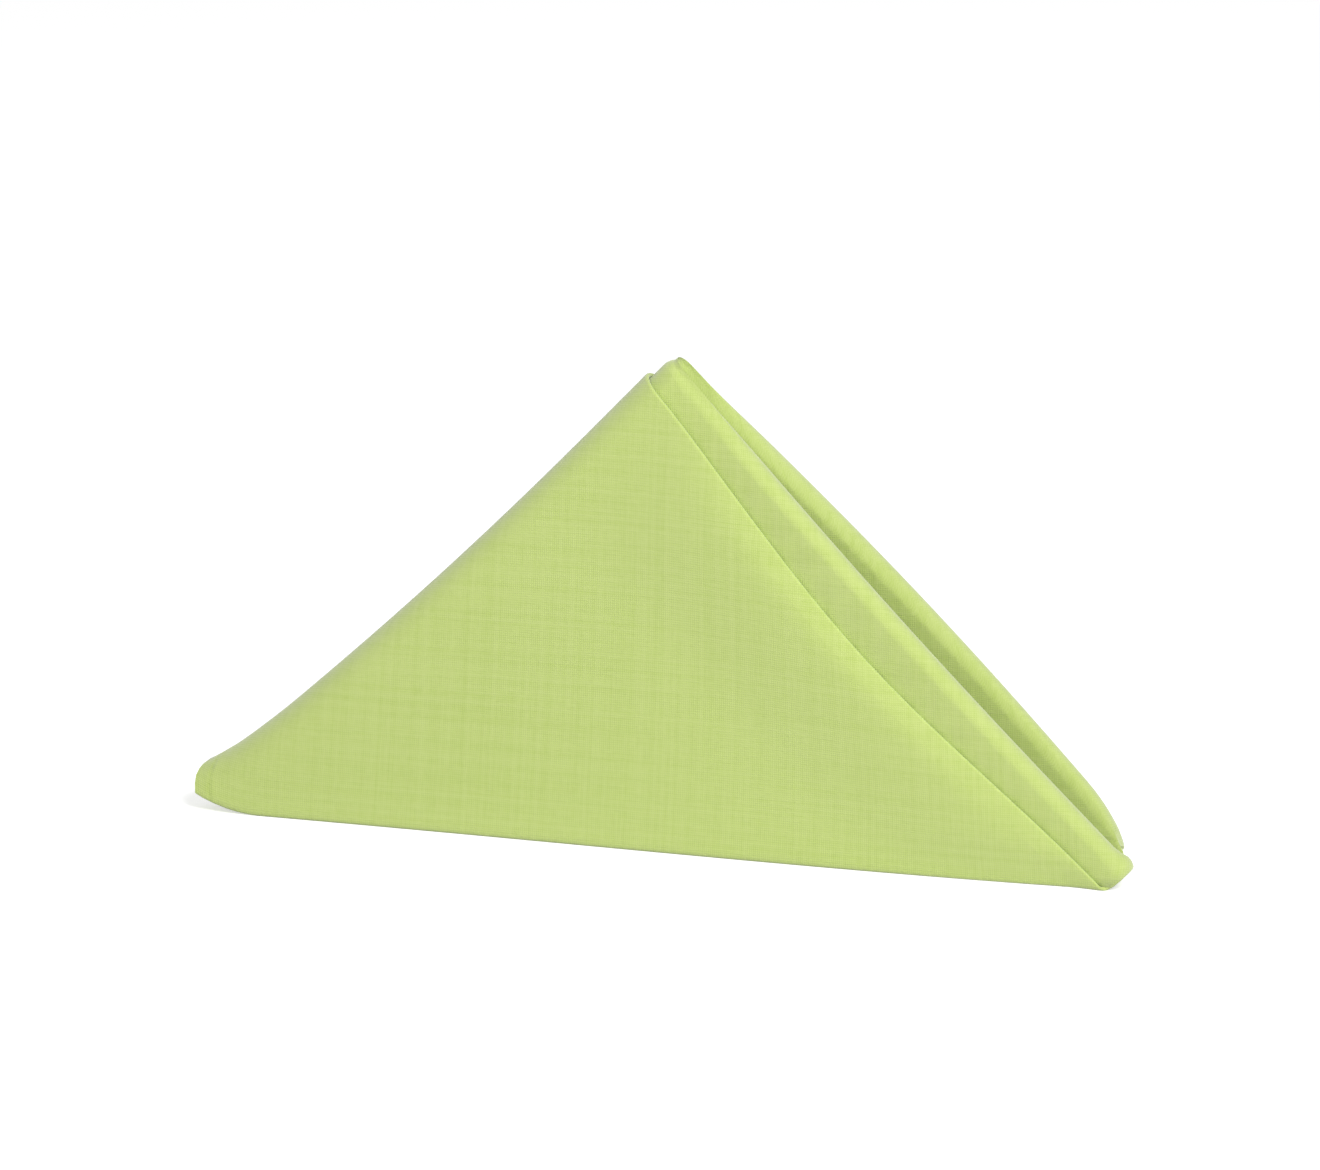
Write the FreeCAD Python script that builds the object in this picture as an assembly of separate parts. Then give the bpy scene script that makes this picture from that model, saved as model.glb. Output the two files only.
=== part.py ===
import FreeCAD, Part
import math
import os

# Cloth, in mm
sheet_side = 508.0
cloth_thickness = 0.4
hem_width = 5.0
hem_thickness = 0.6
hem_step = 0.5

# Folds, in mm: radii are to the middle of the innermost layer
layer_pitch = 0.75
flap_gap = 6.9
leg_radius = 3.0
ridge_radius = 1.5
ridge_shift = 6.4

# How the folded cloth springs open and rests, in mm and degrees
crease_bow = 3.2
front_belly = 4.5
back_belly = 4.5
belly_taper = 0.45
roll_reach = 14.0
pinch_reach = 40.0
opening_angle = 2.5
steepest_lean = 20.0
settle_depth = 0.3

# Fineness: length of a facet on the panels, and facets round each kind of fold
facet_length = 30.0
crease_facets = 5
leg_facets = 8
ridge_facets = 8
lean_steps = 30
snap = 1e-6

# Sizes that follow
half_diagonal = sheet_side / math.sqrt(2)
stack_height = 7 * layer_pitch
middle_gap = layer_pitch / 2
ridge_line = half_diagonal / 2 - ridge_shift
up = FreeCAD.Vector(0, 0, 1)


def vector(x, y, z=0.0):
    return FreeCAD.Vector(x, y, z)


def smooth(value, start, end):
    # Rises from 0 at start to 1 at end with level ends
    share = min(max((value - start) / (end - start), 0.0), 1.0)
    return share * share * (3 - 2 * share)


class Sheet:
    # A closed shell: corners, and faces that list the numbers of their corners

    def __init__(self):
        self.corners = []
        self.faces = []

    def add_ring(self, reach, height):
        # Four corners of the square, which stands on one of its points
        first = len(self.corners)
        self.corners += [vector(reach, 0, height), vector(0, reach, height),
                         vector(-reach, 0, height), vector(0, -reach, height)]
        return [first, first + 1, first + 2, first + 3]

    def join_rings(self, lower, upper):
        for side in range(4):
            after = (side + 1) % 4
            self.faces.append([lower[side], lower[after], upper[after], upper[side]])

    def slice(self, normal, offset):
        # Cuts each face that crosses a plane, with corners on the plane
        gaps = [normal.dot(corner) - offset for corner in self.corners]
        gaps = [0.0 if abs(gap) < snap else gap for gap in gaps]
        cuts = {}

        def cut(start, end):
            key = (min(start, end), max(start, end))
            if key not in cuts:
                one, other = key
                share = gaps[one] / (gaps[one] - gaps[other])
                step = (self.corners[other] - self.corners[one]) * share
                cuts[key] = len(self.corners)
                self.corners.append(self.corners[one] + step)
            return cuts[key]

        faces = []
        for face in self.faces:
            sides = [gaps[corner] for corner in face]
            if min(sides) >= 0 or max(sides) <= 0:
                faces.append(face)
                continue
            low, high = [], []
            for place, corner in enumerate(face):
                after = face[(place + 1) % len(face)]
                if gaps[corner] <= 0:
                    low.append(corner)
                if gaps[corner] >= 0:
                    high.append(corner)
                if gaps[corner] * gaps[after] < 0:
                    low.append(cut(corner, after))
                    high.append(low[-1])
            faces += [low, high]
        self.faces = faces

    def move(self, rule):
        self.corners = [rule(corner) for corner in self.corners]

    def bend(self, across, start, centre, facets, turn=180.0, true_length=None, spring=None):
        # Bends what lies past a line round an axis above it or below it. across is the level
        # direction over the line, start the place of the line and centre the axis's height.
        # true_length is the radius whose length is kept, or None where each layer keeps its own.
        # spring gives how far the cloth stands off its pressed place.
        way = 1.0 if centre > 0 else -1.0
        angle = math.radians(turn)
        for facet in range(facets + 1):
            part = angle * facet / facets
            if true_length:
                self.slice(across, start + part * true_length)
            else:
                self.slice(across + up * (way * part), start + way * part * centre)

        def rule(corner):
            lift = spring(corner) if spring else 0.0
            past = across.dot(corner) - start
            if past <= 0:
                return corner + up * lift
            pressed = way * (centre - corner.z)
            radius = pressed - way * lift
            length = true_length or pressed
            part = min(past / length, angle)
            rest = max(past - angle * length, 0.0)
            along = radius * math.sin(part) + rest * math.cos(part)
            rise = pressed - radius * math.cos(part) + rest * math.sin(part)
            return corner + across * (along - past) + up * (way * rise)

        self.move(rule)

    def solid(self):
        points = [tuple(corner) for corner in self.corners]
        facets = []
        for face in self.faces:
            for place in range(1, len(face) - 1):
                facets.append((face[0], face[place], face[place + 1]))
        shape = Part.Shape()
        shape.makeShapeFromMesh((points, facets), snap)
        return Part.makeSolid(Part.Shell(shape.Faces))


def flat_sheet():
    # The square with a hem that stands up a little on both sides
    sheet = Sheet()
    thin = cloth_thickness / 2
    thick = hem_thickness / 2
    hem = hem_width * math.sqrt(2)
    step = (hem_width + hem_step) * math.sqrt(2)
    bottom = sheet.add_ring(half_diagonal - step, -thin)
    bottom_hem = sheet.add_ring(half_diagonal - hem, -thick)
    bottom_edge = sheet.add_ring(half_diagonal, -thick)
    top_edge = sheet.add_ring(half_diagonal, thick)
    top_hem = sheet.add_ring(half_diagonal - hem, thick)
    top = sheet.add_ring(half_diagonal - step, thin)
    rings = [bottom, bottom_hem, bottom_edge, top_edge, top_hem, top]
    for lower, upper in zip(rings, rings[1:]):
        sheet.join_rings(lower, upper)
    sheet.faces += [top, bottom[::-1]]
    return sheet


def fold_diagonal(sheet):
    # The near half goes up and over the far half
    radius = layer_pitch / 2
    sheet.bend(vector(0, -1), -math.pi * radius / 2, radius, crease_facets, true_length=radius)


def fold_flaps(sheet):
    # Both side corners go up to the far corner, with a gap between their edges
    outer = 1.5 * layer_pitch
    start = flap_gap - math.pi * outer / 2
    for side in (1, -1):
        across = vector(side, -1) / math.sqrt(2)
        sheet.bend(across, start, outer, crease_facets, true_length=outer)


def slice_panels(sheet):
    # Extra cuts, so that the panels can curve
    rows = round(half_diagonal / facet_length)
    for row in range(1, rows):
        sheet.slice(vector(0, 1), row * half_diagonal / rows)
    for row in range(-rows // 2 + 1, rows // 2):
        sheet.slice(vector(1, 0), row * half_diagonal / rows)


def bow_flaps(sheet):
    # The flap edges lie in two shallow curves, one on each side of the ridge
    def rule(corner):
        lift = smooth(corner.z, 1.3 * layer_pitch, 1.7 * layer_pitch)
        near = math.exp(-(corner.x / (4 * flap_gap)) ** 2)
        curve = math.sin(2 * math.pi * min(max(corner.y / half_diagonal, 0), 1)) ** 2
        return corner + vector(math.copysign(crease_bow * lift * near * curve, corner.x), 0)

    sheet.move(rule)


def fold_lengthways(sheet):
    # The right half goes under the left half, round a fat soft roll
    outer = leg_radius + layer_pitch
    sheet.bend(vector(1, 0), -math.pi * outer / 2, -leg_radius, leg_facets, true_length=outer)


def press_stack(sheet):
    # The eight layers lie flat on each other
    def rule(corner):
        depth = corner.z + leg_radius
        size = abs(depth)
        pressed = max(size - leg_radius, 0.0) + min(size, leg_radius) * middle_gap / leg_radius
        return vector(corner.x, corner.y, math.copysign(pressed, depth))

    sheet.move(rule)


def leg_spring(corner):
    # The roll along the leg keeps its full height, apart from where the ridge pinches it
    near = 1 - smooth(-corner.x, 1.5 * leg_radius, 1.5 * leg_radius + roll_reach)
    free = smooth(abs(corner.y - half_diagonal / 2), stack_height, pinch_reach)
    size = min(abs(corner.z) / middle_gap, 1.0)
    return math.copysign(near * free * size * (leg_radius - middle_gap), corner.z)


def panel_spring(corner):
    # Both panels bulge outwards, most at the middle of the leg
    turn_length = math.pi * (ridge_radius + stack_height)
    if corner.y < ridge_line:
        part, belly = corner.y / ridge_line, front_belly
    else:
        part = (corner.y - ridge_line - turn_length) / (half_diagonal - ridge_line - turn_length)
        belly = back_belly
    if not 0 < part < 1:
        return 0.0
    taper = 1 + belly_taper * corner.x / (half_diagonal / 2)
    return belly * math.sin(math.pi * part) * taper


def fold_ridge(sheet):
    # The far half goes behind, and each layer keeps its own length, so the hems end in steps
    centre = -(stack_height / 2 + ridge_radius)
    sheet.bend(vector(0, 1), ridge_line, centre, ridge_facets, turn=180 - opening_angle,
               spring=lambda corner: leg_spring(corner) + panel_spring(corner))


def turn_upright(sheet):
    # The long side goes to the bottom, with the open leg at +X and the smooth panel at -Y
    def rule(corner):
        along = (corner.x - corner.y) / math.sqrt(2)
        height = (corner.x + corner.y) / math.sqrt(2)
        return vector(along, -corner.z, height)

    sheet.move(rule)


def lean_back(sheet):
    # Leans until the front fold and the back hems touch the table together
    fronts = [corner for corner in sheet.corners if corner.y < stack_height / 2 + ridge_radius]
    backs = [corner for corner in sheet.corners if corner.y >= stack_height / 2 + ridge_radius]

    def drop(corners, angle):
        return min(corner.z * math.cos(angle) - corner.y * math.sin(angle) for corner in corners)

    low, high = 0.0, steepest_lean
    for _ in range(lean_steps):
        angle = math.radians((low + high) / 2)
        if drop(fronts, angle) < drop(backs, angle):
            low = (low + high) / 2
        else:
            high = (low + high) / 2
    lean = FreeCAD.Rotation(vector(1, 0), -low)
    print("lean", round(low, 2))
    sheet.move(lean.multVec)


def settle(sheet):
    # The lowest cloth is pressed flat on the table, and the origin goes to the middle below
    lows = [min(corner[axis] for corner in sheet.corners) for axis in range(3)]
    highs = [max(corner[axis] for corner in sheet.corners) for axis in range(3)]
    middle = vector((lows[0] + highs[0]) / 2, (lows[1] + highs[1]) / 2, lows[2] + settle_depth)

    def rule(corner):
        place = corner - middle
        return vector(place.x, place.y, max(place.z, 0.0))

    sheet.move(rule)


napkin = flat_sheet()
fold_diagonal(napkin)
fold_flaps(napkin)
slice_panels(napkin)
bow_flaps(napkin)
fold_lengthways(napkin)
press_stack(napkin)
fold_ridge(napkin)
turn_upright(napkin)
lean_back(napkin)
settle(napkin)

os.makedirs("parts", exist_ok=True)
solid = napkin.solid()
print("valid", solid.isValid(), "faces", len(solid.Faces), "volume cm3", round(solid.Volume / 1000, 2))
print("size", solid.BoundBox)
solid.exportStep("parts/napkin.step")
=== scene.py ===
import math

import bpy
import numpy as np
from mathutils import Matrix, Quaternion, Vector


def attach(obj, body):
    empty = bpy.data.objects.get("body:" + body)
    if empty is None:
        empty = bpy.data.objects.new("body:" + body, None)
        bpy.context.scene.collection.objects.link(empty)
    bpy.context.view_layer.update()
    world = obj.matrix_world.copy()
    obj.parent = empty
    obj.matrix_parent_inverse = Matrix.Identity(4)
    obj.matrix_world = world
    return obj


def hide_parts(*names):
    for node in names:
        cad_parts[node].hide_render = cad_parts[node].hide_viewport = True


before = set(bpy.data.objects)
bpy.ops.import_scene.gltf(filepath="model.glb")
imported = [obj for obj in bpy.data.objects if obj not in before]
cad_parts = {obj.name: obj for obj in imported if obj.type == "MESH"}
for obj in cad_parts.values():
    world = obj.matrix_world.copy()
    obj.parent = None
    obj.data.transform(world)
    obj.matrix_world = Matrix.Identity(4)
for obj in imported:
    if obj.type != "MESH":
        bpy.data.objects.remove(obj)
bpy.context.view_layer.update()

print("frame loaded")

# Everything is in metres. The napkin lies flat first, standing on one point of its square,
# and is then folded exactly as the real one is.
cloth = {
    "side": 0.508,
    "thickness": 0.0004,
    "hemWidth": 0.005,
    "hemThickness": 0.0006,
    "hemStep": 0.0005,
    "cell": 0.0072,  # one square of the mesh
    "sharpAngle": 50.0,
}
folds = {
    "pitch": 0.00075,  # middle to middle of two layers
    "flapGap": 0.0076,  # from the middle line to each flap's edge
    "legRadius": 0.003,  # of the fat roll along the open leg
    "ridgeRadius": 0.0015,
    "ridgeShift": 0.0064,  # from the middle of the length to where the ridge fold begins
    "creaseFacets": 5,
    "legFacets": 12,
    "ridgeFacets": 12,
}
spring = {
    "creaseBow": 0.0055,  # how far the flap edges bow out
    "bowReach": 4.0,  # in flap gaps
    "bowLayers": (1.3, 1.7),  # in layers above the lowest, where the bow begins and is full
    "frontBelly": 0.0053,
    "backBelly": 0.0078,
    "bellyPower": 1.5,
    "ridgeSag": 0.0028,
    "tipRise": 0.0009,
    "tipSpan": (0.8, 0.97),  # shares of the way from apex to tip
    "cornerTuck": 0.36,
    "tuckLength": 0.018,
    "rollStart": 1.5,  # in leg radii
    "rollReach": 0.014,
    "pinchReach": 0.040,
    "openingAngle": 3.4,
    "steepestLean": 20.0,
    "leanSteps": 40,
    "settleDepth": 0.0003,
}
puff = {
    "height": 0.0024,  # how far the outer layer stands off along a soft folded edge
    "width": 0.008,
    "fade": 0.045,
    "inside": 0.25,  # share of it between the two panels
    "creaseSpan": (0.001, 0.012),  # from the side crease inwards, where the puff begins and is full
    "cornerSpan": (0.012, 0.05),  # the same from the far corner
    "lipHeight": 0.0010,
    "lipWidth": 0.0028,
    "lipFade": 2.4,  # in lip widths
    "lipStart": 0.004,
    "faceSpan": (0.3, 0.7),  # through the outer layer, in layers
    "cuts": (0.0004, 0.0010, 0.0019, 0.0032, 0.0050, 0.0075),
}
tip = {
    "reach": 0.018,  # along the table
    "rise": 0.0048,
    "height": 0.024,  # above this the tip keeps its shape
}
snap = 1e-9
halfDiagonal = cloth["side"] / math.sqrt(2)
stackHeight = 7 * folds["pitch"]
middleGap = folds["pitch"] / 2
clearGap = middleGap - cloth["hemThickness"] / 2
clearRadius = folds["legRadius"] - cloth["hemThickness"] / 2
ridgeLine = halfDiagonal / 2 - folds["ridgeShift"]


def smooth(value, start, end):
    # Three times the square of the share less twice its cube: 0 at start, 1 at end, level at both
    share = np.clip((value - start) / (end - start), 0.0, 1.0)
    return share * share * (3 - 2 * share)


class Sheet:
    # A closed shell of triangles: place is where a point is now, weave where it is on the flat cloth

    def __init__(self, place, weave, faces):
        self.place = place
        self.weave = weave
        self.faces = faces

    def slice(self, normal, offset):
        # Cuts each triangle that crosses the plane in two or three, with points on the plane
        gap = self.place @ np.asarray(normal, float) - offset
        gap[np.abs(gap) < snap] = 0.0
        side = np.sign(gap)[self.faces]
        crossed = (side.min(1) < 0) & (side.max(1) > 0)
        if not crossed.any():
            return
        cut, side = self.faces[crossed], side[crossed]
        total = side.sum(1)
        lone = np.argmax(side == -total[:, None], axis=1)  # the corner alone on its side, or on the plane
        turned = np.take_along_axis(cut, (lone[:, None] + np.arange(3)) % 3, axis=1)
        on = total == 0
        one, two, three = turned[~on].T
        first, second, third = turned[on].T
        ends = np.sort(np.concatenate([
            np.stack([one, two], 1), np.stack([one, three], 1), np.stack([second, third], 1)]), axis=1)
        edges, index = np.unique(ends, axis=0, return_inverse=True)
        index = index.reshape(-1) + len(self.place)
        share = (gap[edges[:, 0]] / (gap[edges[:, 0]] - gap[edges[:, 1]]))[:, None]

        def between(values):
            return values[edges[:, 0]] + share * (values[edges[:, 1]] - values[edges[:, 0]])

        self.place = np.concatenate([self.place, between(self.place)])
        self.weave = np.concatenate([self.weave, between(self.weave)])
        count = len(one)
        near, far, middle = index[:count], index[count:2 * count], index[2 * count:]
        self.faces = np.concatenate([
            self.faces[~crossed],
            np.stack([one, near, far], 1), np.stack([near, two, three], 1), np.stack([near, three, far], 1),
            np.stack([first, second, middle], 1), np.stack([first, middle, third], 1)])

    def bend(self, across, start, centre, facets, turn=180.0, trueLength=None, lift=None):
        # Past the line the cloth goes round an axis. The angle is the length past the line over
        # the kept radius, the way along is radius times its sine and the rise is radius less
        # radius times its cosine. After the turn it runs straight on.
        across = np.array([across[0], across[1], 0.0])
        up = np.array([0.0, 0.0, 1.0])
        way = 1.0 if centre > 0 else -1.0
        angle = math.radians(turn)
        for facet in range(facets + 1):
            part = angle * facet / facets
            if trueLength:
                self.slice(across, start + part * trueLength)
            else:
                self.slice(across + up * (way * part), start + way * part * centre)
        lifted = lift(self) if lift else np.zeros(len(self.place))
        past = np.maximum(self.place @ across - start, 0.0)
        pressed = way * (centre - self.place[:, 2])
        radius = pressed - way * lifted
        length = trueLength or pressed
        part = np.minimum(past / length, angle)
        rest = np.maximum(past - angle * length, 0.0)
        along = radius * np.sin(part) + rest * np.cos(part)
        rise = pressed - radius * np.cos(part) + rest * np.sin(part)
        self.place = self.place + np.outer(along - past, across) + np.outer(way * rise, up)


def flatSheet():
    # A grid along warp and weft, thicker in the hem, with a top, a bottom and a wall round the edge
    half = cloth["side"] / 2
    inner = half - cloth["hemWidth"] - cloth["hemStep"]
    count = round(2 * inner / cloth["cell"])
    rows = np.concatenate([[-half, cloth["hemWidth"] - half], np.linspace(-inner, inner, count + 1),
                           [half - cloth["hemWidth"], half]])
    size = len(rows)
    warp, weft = np.meshgrid(rows, rows, indexing="ij")
    hem = np.maximum(np.abs(warp), np.abs(weft)) > inner + snap
    height = np.where(hem, cloth["hemThickness"], cloth["thickness"]) / 2
    flat = np.stack([(warp - weft) / math.sqrt(2), (warp + weft) / math.sqrt(2)], 2).reshape(-1, 2)
    over = np.column_stack([flat, height.ravel()])
    place = np.concatenate([over, over * (1, 1, -1)])
    weave = np.stack([warp.ravel(), weft.ravel()], 1)
    number = np.arange(size * size).reshape(size, size)
    quads = np.stack([number[:-1, :-1], number[1:, :-1], number[1:, 1:], number[:-1, 1:]], 2).reshape(-1, 4)
    edge = np.concatenate([number[0, :-1], number[:-1, -1], number[-1, :0:-1], number[:0:-1, 0]])
    after = np.roll(edge, -1)
    under = size * size
    walls = np.stack([edge, after, after + under, edge + under], 1)
    quads = np.concatenate([quads, quads[:, ::-1] + under, walls])
    faces = np.concatenate([quads[:, [0, 1, 2]], quads[:, [0, 2, 3]]])
    return Sheet(place, np.concatenate([weave, weave]), faces)


def cutAlongDiagonal(sheet):
    # Closer points on both sides of the diagonal, which becomes the soft edge of the flaps
    for cut in puff["cuts"]:
        sheet.slice((0, 1, 0), cut)
        sheet.slice((0, 1, 0), -cut)


def foldDiagonal(sheet):
    # The near half goes up and over the far half
    radius = folds["pitch"] / 2
    sheet.bend((0, -1), -math.pi * radius / 2, radius, folds["creaseFacets"], trueLength=radius)


def foldFlaps(sheet):
    # Both side corners go up to the far corner, with a gap between their edges
    outer = 1.5 * folds["pitch"]
    start = folds["flapGap"] - math.pi * outer / 2
    for side in (1, -1):
        across = (side / math.sqrt(2), -1 / math.sqrt(2))
        sheet.bend(across, start, outer, folds["creaseFacets"], trueLength=outer)


def puffEdges(sheet):
    # The diagonal is a soft roll, not a crease. Beside it the outer layer stands off: the share of
    # the height is 1 less the square of what is left of the width, and past the width it sinks back.
    # It is held down by the ridge, the side creases and the corners, and between the panels
    x, y, z = sheet.place.T
    warp, weft = sheet.weave.T
    away = np.abs(warp + weft) / math.sqrt(2)
    inFlap = (np.abs(warp - weft) / math.sqrt(2) - away) / math.sqrt(2) - folds["flapGap"]
    flap = z > 1.5 * folds["pitch"]
    level = np.where(flap, z - 2 * folds["pitch"], z) / folds["pitch"]

    def bulb(width):
        return 1 - (1 - np.minimum(away / width, 1)) ** 2

    sink = 1 - smooth(away, puff["width"], puff["fade"])
    free = smooth(np.abs(y - halfDiagonal / 2), stackHeight, spring["pinchReach"])
    free = free * smooth(halfDiagonal - y, *puff["cornerSpan"])
    height = np.where(x < 0, 1.0, puff["inside"]) * puff["height"]
    edge = height * bulb(puff["width"]) * sink * smooth(inFlap, *puff["creaseSpan"])
    lipSink = 1 - smooth(away, puff["lipWidth"], puff["lipFade"] * puff["lipWidth"])
    lip = puff["lipHeight"] * bulb(puff["lipWidth"]) * lipSink * smooth(-inFlap, 0.0, puff["lipStart"])
    sheet.place[:, 2] = z + np.where(flap, edge, lip) * free * smooth(level, *puff["faceSpan"])


def bowFlaps(sheet):
    # The flap edges move out by the bow times the square of a full sine wave along them, only in
    # the upper two layers and near the edge
    x, y, z = sheet.place.T
    lift = smooth(z / folds["pitch"], *spring["bowLayers"])
    near = np.exp(-(x / (spring["bowReach"] * folds["flapGap"])) ** 2)
    curve = np.sin(2 * math.pi * np.clip(y / halfDiagonal, 0, 1)) ** 2
    sheet.place[:, 0] = x + np.copysign(spring["creaseBow"] * lift * near * curve, x)


def foldLengthways(sheet):
    # The right half goes under the left half, round a fat soft roll
    outer = folds["legRadius"] + folds["pitch"]
    sheet.bend((1, 0), -math.pi * outer / 2, -folds["legRadius"], folds["legFacets"], trueLength=outer)


def pressStack(sheet):
    # The eight layers lie flat on each other: only what is inside the roll's radius is pressed
    depth = sheet.place[:, 2] + folds["legRadius"]
    size = np.abs(depth)
    pressed = np.maximum(size - clearRadius, 0.0) + np.minimum(size, clearRadius) * clearGap / clearRadius
    sheet.place[:, 2] = np.copysign(pressed, depth)


def tuckCorners(sheet):
    # The four loose corners of the cloth are pushed in a little, most at their points
    x, y = sheet.place[:, 0], sheet.place[:, 1]
    past = np.maximum((x + y - halfDiagonal) / math.sqrt(2) + spring["tuckLength"], 0.0)
    back = spring["cornerTuck"] * past * np.minimum(past / spring["tuckLength"], 1.0) / math.sqrt(2)
    sheet.place[:, 0] -= back
    sheet.place[:, 1] -= back


def springOpen(sheet):
    # How far the cloth stands off its pressed place: the roll along the leg keeps its height,
    # apart from where the ridge pinches it, and both panels bulge out in half a sine wave
    x, y, z = sheet.place.T
    rollStart = spring["rollStart"] * folds["legRadius"]
    near = 1 - smooth(-x, rollStart, rollStart + spring["rollReach"])
    free = smooth(np.abs(y - halfDiagonal / 2), stackHeight, spring["pinchReach"])
    size = np.minimum(np.abs(z) / clearGap, 1.0)
    roll = np.copysign(near * free * size * (folds["legRadius"] - middleGap), z)
    turnLength = math.pi * (folds["ridgeRadius"] + stackHeight)
    front = y < ridgeLine
    backStart = ridgeLine + turnLength
    part = np.where(front, y / ridgeLine, (y - backStart) / (halfDiagonal - backStart))
    belly = np.where(front, spring["frontBelly"], spring["backBelly"])
    taper = np.clip(1 + x / (halfDiagonal / 2), 0, 1) ** spring["bellyPower"]
    return roll + belly * np.sin(math.pi * np.clip(part, 0, 1)) * taper


def foldRidge(sheet):
    # The far half goes behind, and each layer keeps its own length, so the hems end in steps
    centre = -(stackHeight / 2 + folds["ridgeRadius"])
    turn = 180 - spring["openingAngle"]
    sheet.bend((0, 1), ridgeLine, centre, folds["ridgeFacets"], turn=turn, lift=springOpen)


def sagRidge(sheet):
    # The ridge sags in half a sine wave between apex and tip, and the thick hems lift it at the
    # tip. The cloth below follows in proportion to its height over the lower fold
    x, y = sheet.place[:, 0], sheet.place[:, 1]
    share = np.clip(-x / (halfDiagonal / 2), 0, 1)
    ridgeTop = ridgeLine + stackHeight
    height = np.clip((y + x + folds["flapGap"]) / (ridgeTop + folds["flapGap"] + x), 0, 1)
    rise = spring["tipRise"] * smooth(share, *spring["tipSpan"])
    sheet.place[:, 1] = y + height * (rise - spring["ridgeSag"] * np.sin(math.pi * share))


def turnUpright(sheet):
    # The long side goes to the bottom, with the open leg at +X and the smooth panel at -Y
    x, y, z = sheet.place.T
    sheet.place = np.stack([(x - y) / math.sqrt(2), -z, (x + y) / math.sqrt(2)], 1)


def leanBack(sheet):
    # Leans until the front fold and the back hems touch the table together
    behind = sheet.place[:, 1] >= stackHeight / 2 + folds["ridgeRadius"]
    low, high = 0.0, math.radians(spring["steepestLean"])
    for _ in range(spring["leanSteps"]):
        angle = (low + high) / 2
        drop = sheet.place[:, 2] * math.cos(angle) - sheet.place[:, 1] * math.sin(angle)
        if drop[~behind].min() < drop[behind].min():
            low = angle
        else:
            high = angle
    y, z = sheet.place[:, 1].copy(), sheet.place[:, 2].copy()
    sheet.place[:, 1] = y * math.cos(low) + z * math.sin(low)
    sheet.place[:, 2] = z * math.cos(low) - y * math.sin(low)


def settle(sheet):
    # The lowest cloth is pressed flat on the table, and the origin goes to the middle below
    lows, highs = sheet.place.min(0), sheet.place.max(0)
    sheet.place -= [(lows[0] + highs[0]) / 2, (lows[1] + highs[1]) / 2, lows[2] + spring["settleDepth"]]
    sheet.place[:, 2] = np.maximum(sheet.place[:, 2], 0.0)


def roundTip(sheet):
    # The lower corner of the far tip is soft: it rises by the square of its nearness to the tip
    x, z = sheet.place[:, 0], sheet.place[:, 2]
    near = np.clip(1 - (x - x.min()) / tip["reach"], 0, 1)
    sheet.place[:, 2] = z + tip["rise"] * near ** 2 * np.clip(1 - z / tip["height"], 0, 1)


def foldedSheet():
    sheet = flatSheet()
    steps = (cutAlongDiagonal, foldDiagonal, foldFlaps, puffEdges, bowFlaps, foldLengthways, pressStack,
             tuckCorners, foldRidge, sagRidge, turnUpright, leanBack, settle, roundTip)
    for step in steps:
        step(sheet)
        print(step.__name__, len(sheet.faces), "triangles")
    return sheet


def napkinPiece(material):
    sheet = foldedSheet()
    mesh = bpy.data.meshes.new("foldedNapkin")
    mesh.vertices.add(len(sheet.place))
    mesh.vertices.foreach_set("co", sheet.place.astype(np.float32).ravel())
    mesh.loops.add(sheet.faces.size)
    mesh.loops.foreach_set("vertex_index", sheet.faces.astype(np.int32).ravel())
    mesh.polygons.add(len(sheet.faces))
    mesh.polygons.foreach_set("loop_start", np.arange(0, sheet.faces.size, 3, dtype=np.int32))
    mesh.update(calc_edges=True)
    weave = mesh.uv_layers.new(name="weave")
    weave.uv.foreach_set("vector", sheet.weave[sheet.faces.ravel()].astype(np.float32).ravel())
    mesh.shade_smooth()
    mesh.set_sharp_from_angle(angle=math.radians(cloth["sharpAngle"]))
    mesh.materials.append(material)
    mesh.validate()
    piece = bpy.data.objects.new("foldedNapkin", mesh)
    bpy.context.collection.objects.link(piece)
    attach(piece, "root")
    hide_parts("napkin")
    print("napkin made", len(mesh.polygons), "triangles")


class Wire:
    # A socket that takes part in plain Python sums

    def __init__(self, nodes, socket):
        self.nodes = nodes
        self.socket = socket

    def math(self, operation, *values):
        return self.nodes.add("ShaderNodeMath", {"operation": operation}, *values)

    def __add__(self, other):
        return self.math("ADD", self, other)

    def __sub__(self, other):
        return self.math("SUBTRACT", self, other)

    def __rsub__(self, other):
        return self.math("SUBTRACT", other, self)

    def __mul__(self, other):
        return self.math("MULTIPLY", self, other)

    def __truediv__(self, other):
        return self.math("DIVIDE", self, other)

    __radd__ = __add__
    __rmul__ = __mul__


class Nodes:
    # Adds nodes to a material or the world: a node's settings first, then what its sockets take

    def __init__(self, owner):
        self.tree = owner.node_tree
        self.tree.nodes.clear()

    def add(self, kind, settings, *values, out=0, **named):
        node = self.tree.nodes.new(kind)
        for key, value in settings.items():
            setattr(node, key, value)
        for socket, value in list(enumerate(values)) + list(named.items()):
            target = node.inputs[socket if isinstance(socket, int) else socket.replace("_", " ")]
            if isinstance(value, Wire):
                self.tree.links.new(value.socket, target)
            else:
                target.default_value = value
        return Wire(self, node.outputs[out]) if node.outputs else node


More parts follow.
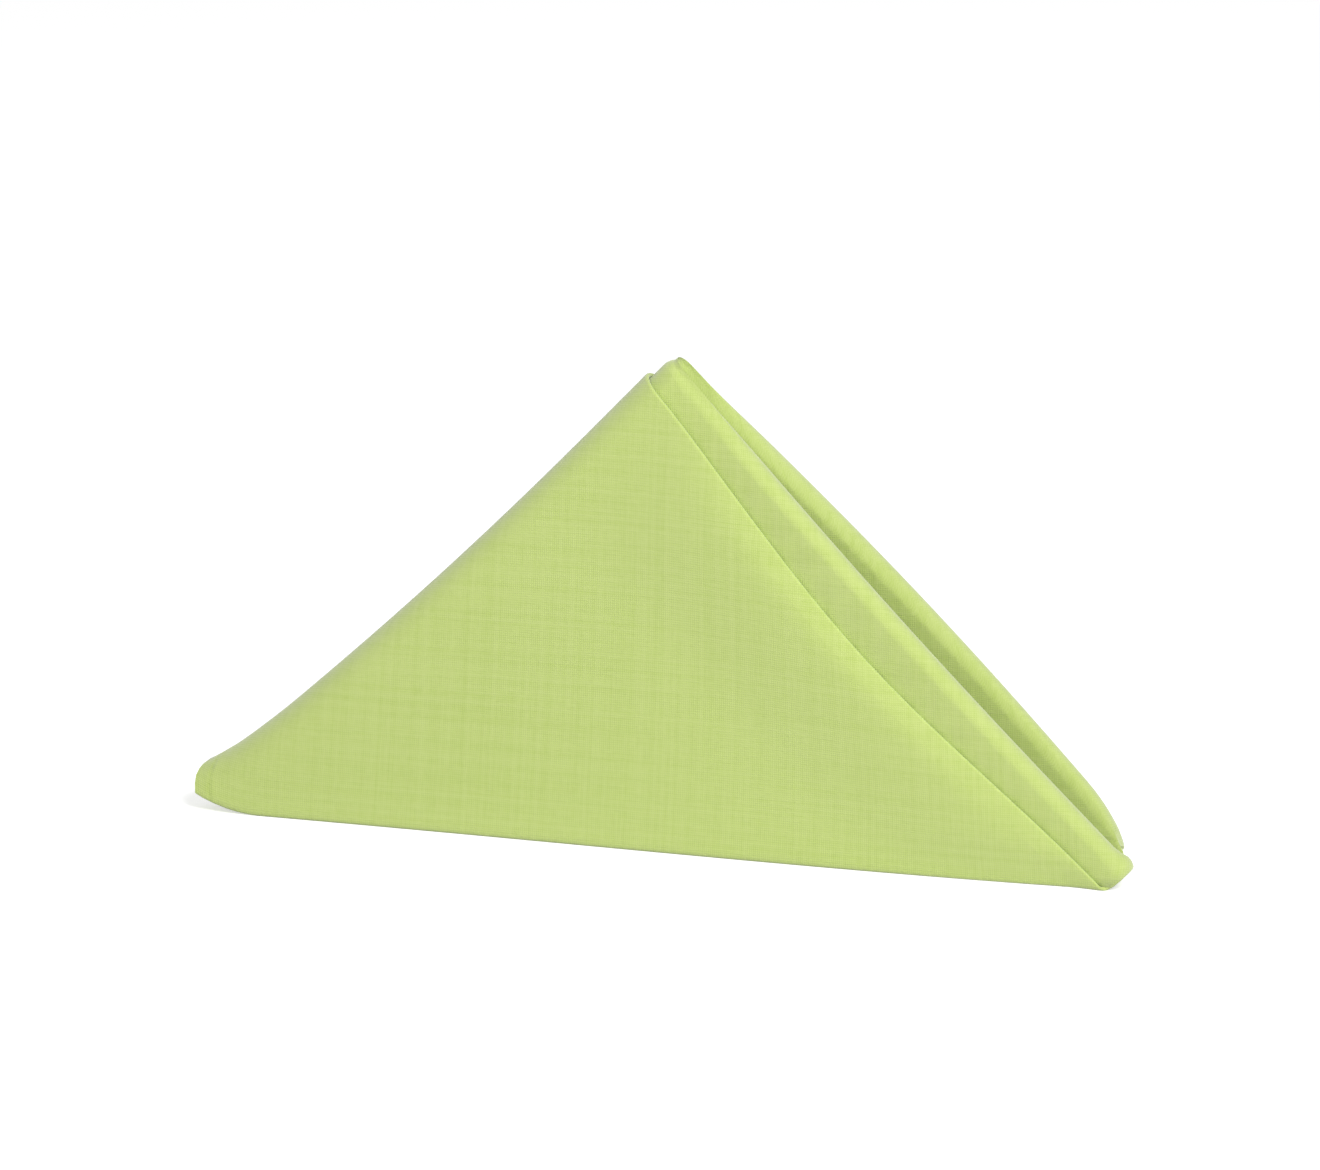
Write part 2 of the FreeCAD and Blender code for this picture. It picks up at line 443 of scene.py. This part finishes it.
weaveLook = {
    "lime": (0.545, 0.652, 0.197, 1.0),  # the lit crowns of the yarns, a painted highlight, and also the light end of their own streaks
    "shade": (0.425, 0.552, 0.102, 1.0),  # painted shade between the yarns, and also the dark end of their own streaks
    "warpPitch": 0.00061,
    "weftPitch": 0.00055,
    "tone": 0.45,  # between shade and lime, before the yarns
    # how much lighter the crowns and darker the gaps between the yarns are painted: painted light and shade
    "crownLightAndShade": 0.6,
    "streakTone": 0.5,
    "streakDraw": 0.01,  # how much a streak is drawn out along its yarn
    "streakScale": 0.45,
    "slubTone": 0.35,
    "slubDraw": 0.15,
    "slubScale": 0.9,
    "stitchInset": 0.0043,
    "stitchLength": 0.0026,
    "stitchGap": 0.25,  # share of the length
    "threadRadius": 0.00035,
    "threadTone": 0.3,
    "grooveReach": 3.0,  # in thread radii
    # how much darker the grooves are painted: painted shade in the recess
    "grooveShade": 0.5,
    "bumpHeight": 0.00012,  # of a crown, and the next three are in crowns
    "slubHeight": 0.5,
    "threadHeight": 1.5,
    "grooveDepth": 2.0,
    "bumpStrength": 0.55,
    "roughness": 0.85,
    "sheen": 0.6,
    "sheenRoughness": 0.6,
}


def clothMaterial():
    # Everything is painted on the flat cloth: u along the weft, v along the warp, in metres
    look = weaveLook
    material = bpy.data.materials.new("limeCloth")
    material.use_nodes = True
    nodes = Nodes(material)
    place = nodes.add("ShaderNodeUVMap", {"uv_map": "weave"})
    u = nodes.add("ShaderNodeSeparateXYZ", {}, place)
    v = Wire(nodes, u.socket.node.outputs[1])
    warp, weft = u / look["warpPitch"], v / look["weftPitch"]

    # A plain weave: each crossing is a small crown, half a sine wave one way times the other. It raises the
    # bump, and it also paints the crowns lighter and the gaps between the yarns darker, as painted light and
    # shade
    crown = u.math("ABSOLUTE", u.math("SINE", warp * math.pi) * u.math("SINE", weft * math.pi))

    def noiseOver(across, along, scale):
        spread = nodes.add("ShaderNodeCombineXYZ", {}, across, along)
        noise = nodes.add("ShaderNodeTexNoise", {"noise_dimensions": "2D"}, Vector=spread,
                          Scale=scale, Detail=1.0)
        return noise - 0.5

    def yarns(draw, scale):
        # Noise drawn out along both sets of yarns, each about 0 in the middle
        return noiseOver(warp, weft * draw, scale) + noiseOver(warp * draw, weft, scale)

    streaks = yarns(look["streakDraw"], look["streakScale"])
    slubs = yarns(look["slubDraw"], look["slubScale"])

    # The seam runs inside the edge in dashes, with a groove along both sides of the thread. The groove is
    # also painted darker, as painted shade
    half = cloth["side"] / 2
    sideU, sideV = u.math("ABSOLUTE", u), u.math("ABSOLUTE", v)
    inset = half - u.math("MAXIMUM", sideU, sideV)
    alongSide = u.math("MINIMUM", sideU, sideV) / look["stitchLength"]
    dash = u.math("GREATER_THAN", u.math("FRACT", alongSide), look["stitchGap"])
    offset = u.math("ABSOLUTE", inset - look["stitchInset"]) / look["threadRadius"]
    thread = u.math("LESS_THAN", offset, 1.0) * dash
    groove = 1 - nodes.add("ShaderNodeMapRange", {"interpolation_type": "SMOOTHSTEP"}, offset,
                           0.0, look["grooveReach"], 0.0, 1.0)

    # Lighter crowns and darker gaps are painted light and shade. The streaks and slubs are the yarns' own
    # tone, and the thread is lighter
    factor = crown * look["crownLightAndShade"] + look["tone"] + streaks * look["streakTone"]
    factor = factor + slubs * look["slubTone"] + thread * look["threadTone"] - groove * look["grooveShade"]
    colour = nodes.add("ShaderNodeMix", {"data_type": "RGBA"}, factor, out=2)
    mix = colour.socket.node
    mix.inputs[6].default_value = look["shade"]
    mix.inputs[7].default_value = look["lime"]
    height = crown + slubs * look["slubHeight"] + thread * look["threadHeight"] - groove * look["grooveDepth"]
    normal = nodes.add("ShaderNodeBump", {}, Height=height, Strength=look["bumpStrength"],
                       Distance=look["bumpHeight"])
    shader = nodes.add("ShaderNodeBsdfPrincipled", {}, Base_Color=colour, Normal=normal,
                       Roughness=look["roughness"], Sheen_Weight=look["sheen"],
                       Sheen_Roughness=look["sheenRoughness"])
    nodes.add("ShaderNodeOutputMaterial", {}, Surface=shader)
    print("cloth material made")
    return material


studio = {
    "floorReach": 3.0,
    "floorColour": (0.8, 0.8, 0.8, 1.0),
    "floorGlow": 0.57,
    "worldLight": 0.42,
    "keyPower": 20.0,
    "keySize": 0.6,
    "keyPlace": (0.76, -0.95, 1.1),
    "keyAim": (0.0, 0.0, 0.06),
    "backdrop": (1.0, 1.0, 1.0, 1.0),
}


def seen(nodes):
    # 1 for what the camera sees, straight or in a gloss or through glass
    path = nodes.add("ShaderNodeLightPath", {})
    outs = path.socket.node.outputs
    return path + Wire(nodes, outs["Is Glossy Ray"]) + Wire(nodes, outs["Is Transmission Ray"])


def makeFloor():
    # Pale floor with a glow that only the camera sees, so open floor is white and the shadow stays
    material = bpy.data.materials.new("paleFloor")
    material.use_nodes = True
    nodes = Nodes(material)
    plain = nodes.add("ShaderNodeBsdfDiffuse", {}, Color=studio["floorColour"])
    glow = nodes.add("ShaderNodeEmission", {}, Strength=seen(nodes) * studio["floorGlow"])
    both = nodes.add("ShaderNodeAddShader", {}, plain, glow)
    nodes.add("ShaderNodeOutputMaterial", {}, Surface=both)
    reach = studio["floorReach"]
    corners = [(-reach, -reach, 0), (reach, -reach, 0), (reach, reach, 0), (-reach, reach, 0)]
    mesh = bpy.data.meshes.new("floor")
    mesh.from_pydata(corners, [], [(0, 1, 2, 3)])
    mesh.materials.append(material)
    floor = bpy.data.objects.new("floor", mesh)
    bpy.context.collection.objects.link(floor)
    print("floor made")


def makeLight():
    lamp = bpy.data.lights.new("key", "AREA")
    lamp.energy = studio["keyPower"]
    lamp.size = studio["keySize"]
    light = bpy.data.objects.new("key", lamp)
    light.location = studio["keyPlace"]
    towards = Vector(studio["keyAim"]) - light.location
    light.rotation_euler = towards.to_track_quat("-Z", "Y").to_euler()
    bpy.context.collection.objects.link(light)
    world = bpy.data.worlds.new("studio")
    bpy.context.scene.world = world
    world.use_nodes = True
    nodes = Nodes(world)
    strength = seen(nodes) * (1 - studio["worldLight"]) + studio["worldLight"]
    backdrop = nodes.add("ShaderNodeBackground", {}, studio["backdrop"], strength)
    nodes.add("ShaderNodeOutputWorld", {}, Surface=backdrop)
    print("light made")


view = {
    "azimuth": 13.35,
    "elevation": 14.72,
    "roll": -1.07,
    "distance": 2.062,
    "aim": (-0.003, 0.0, 0.069),
    "lens": 215.1,
}


def makeCamera():
    camera = bpy.data.cameras.new("camera")
    camera.lens = view["lens"]
    holder = bpy.data.objects.new("camera", camera)
    turn, rise = math.radians(view["azimuth"]), math.radians(view["elevation"])
    away = Vector((math.sin(turn) * math.cos(rise), -math.cos(turn) * math.cos(rise), math.sin(rise)))
    holder.location = Vector(view["aim"]) + away * view["distance"]
    spin = Quaternion((0, 0, 1), math.radians(-view["roll"]))
    holder.rotation_euler = ((-away).to_track_quat("-Z", "Y") @ spin).to_euler()
    bpy.context.collection.objects.link(holder)
    bpy.context.scene.camera = holder


bpy.context.scene.view_settings.view_transform = "Standard"
napkinPiece(clothMaterial())
makeFloor()
makeLight()
makeCamera()
